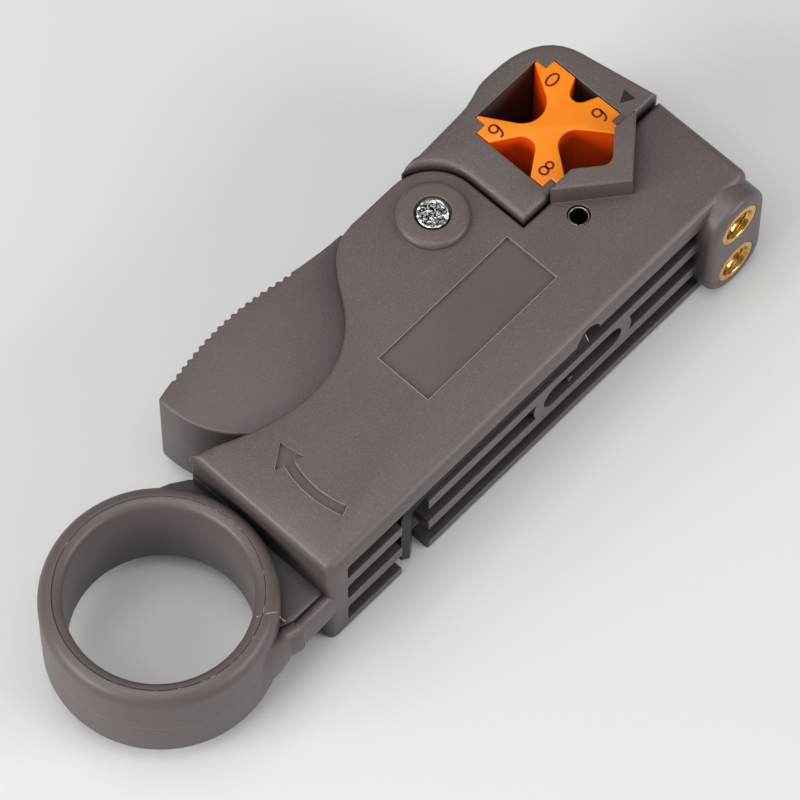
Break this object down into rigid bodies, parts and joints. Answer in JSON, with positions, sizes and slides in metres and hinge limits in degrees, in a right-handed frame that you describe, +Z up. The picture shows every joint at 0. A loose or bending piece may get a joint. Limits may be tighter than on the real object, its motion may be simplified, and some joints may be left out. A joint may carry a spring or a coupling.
{
  "type": "coaxial cable stripper",
  "caption": "Hand-held rotary coaxial cable stripper with a squeeze lever, a lift-out V block, a finger ring and a hex key stored in its side.",
  "frame": {"origin": "middle of the body block on its flat base", "axes": "+X along the body towards the head with the V block, +Y towards the thumb lever, +Z up from the base"},
  "size_m": [0.1119, 0.0376, 0.0248],
  "materials": {
    "grey_body": "fine spark-eroded texture, warm dark grey",
    "grey_lever": "fine spark-eroded texture, warm dark grey",
    "orange_block": "smooth moulded, bright orange",
    "pin_steel": "peened ends",
    "spring_steel": "drawn wire",
    "brass": "turned and knurled",
    "screw_steel": "machined",
    "arm_plastic": "smooth moulded, near black",
    "blade_steel": "ground edge",
    "black_key": "black oxide, ends cut bright"
  },
  "bodies": {
    "body": {"body_frame": "grey_body", "pivot_pin": "pin_steel", "roll_pin": "pin_steel", "lever_spring": "spring_steel", "brass_insert_upper": "brass", "brass_insert_lower": "brass", "hex_key": "black_key"},
    "lever": {"clamp_lever": "grey_lever"},
    "block": {"v_block": "orange_block"},
    "upper_screw": {"set_screw_upper": "screw_steel"},
    "lower_screw": {"set_screw_lower": "screw_steel"},
    "upper_carrier": {"blade_arm_upper": "arm_plastic", "blade_upper": "blade_steel", "blade_screw_upper": "screw_steel"},
    "lower_carrier": {"blade_arm_lower": "arm_plastic", "blade_lower": "blade_steel", "blade_screw_lower": "screw_steel"}
  },
  "joints": [
    {"name": "lever_pivot", "type": "hinge", "parent": "body", "child": "lever", "pos_m": [0.00645, 0.01315, 0.0105], "axis": [0, 0, 1], "range_deg": [0, 12], "stiffness_Nm_per_rad": 0.6, "springref_deg": -11.46, "deforming": ["lever_spring"]},
    {"name": "block_lift", "type": "slide", "parent": "lever", "child": "block", "axis": [0, 0, 1], "range_m": [0, 0.022]},
    {"name": "upper_screw_feed", "type": "slide", "parent": "body", "child": "upper_screw", "axis": [0, 1, 0], "range_m": [-0.0015, 0.0008]},
    {"name": "lower_screw_feed", "type": "slide", "parent": "body", "child": "lower_screw", "axis": [0, 1, 0], "range_m": [-0.0003, 0.0015]},
    {"name": "upper_carrier_swing", "type": "hinge", "parent": "body", "child": "upper_carrier", "pos_m": [0.01975, -0.00047, 0.0105], "axis": [0, 0, 1], "range_deg": [-5.6, 3]},
    {"name": "lower_carrier_swing", "type": "hinge", "parent": "body", "child": "lower_carrier", "pos_m": [0.01975, -0.00047, 0.0105], "axis": [0, 0, 1], "range_deg": [-1.2, 5.6]}
  ],
  "couplings": [
    {"joint": "upper_carrier_swing", "follows": "upper_screw_feed", "rad_per_m": 64.31},
    {"joint": "lower_carrier_swing", "follows": "lower_screw_feed", "rad_per_m": 64.31}
  ]
}
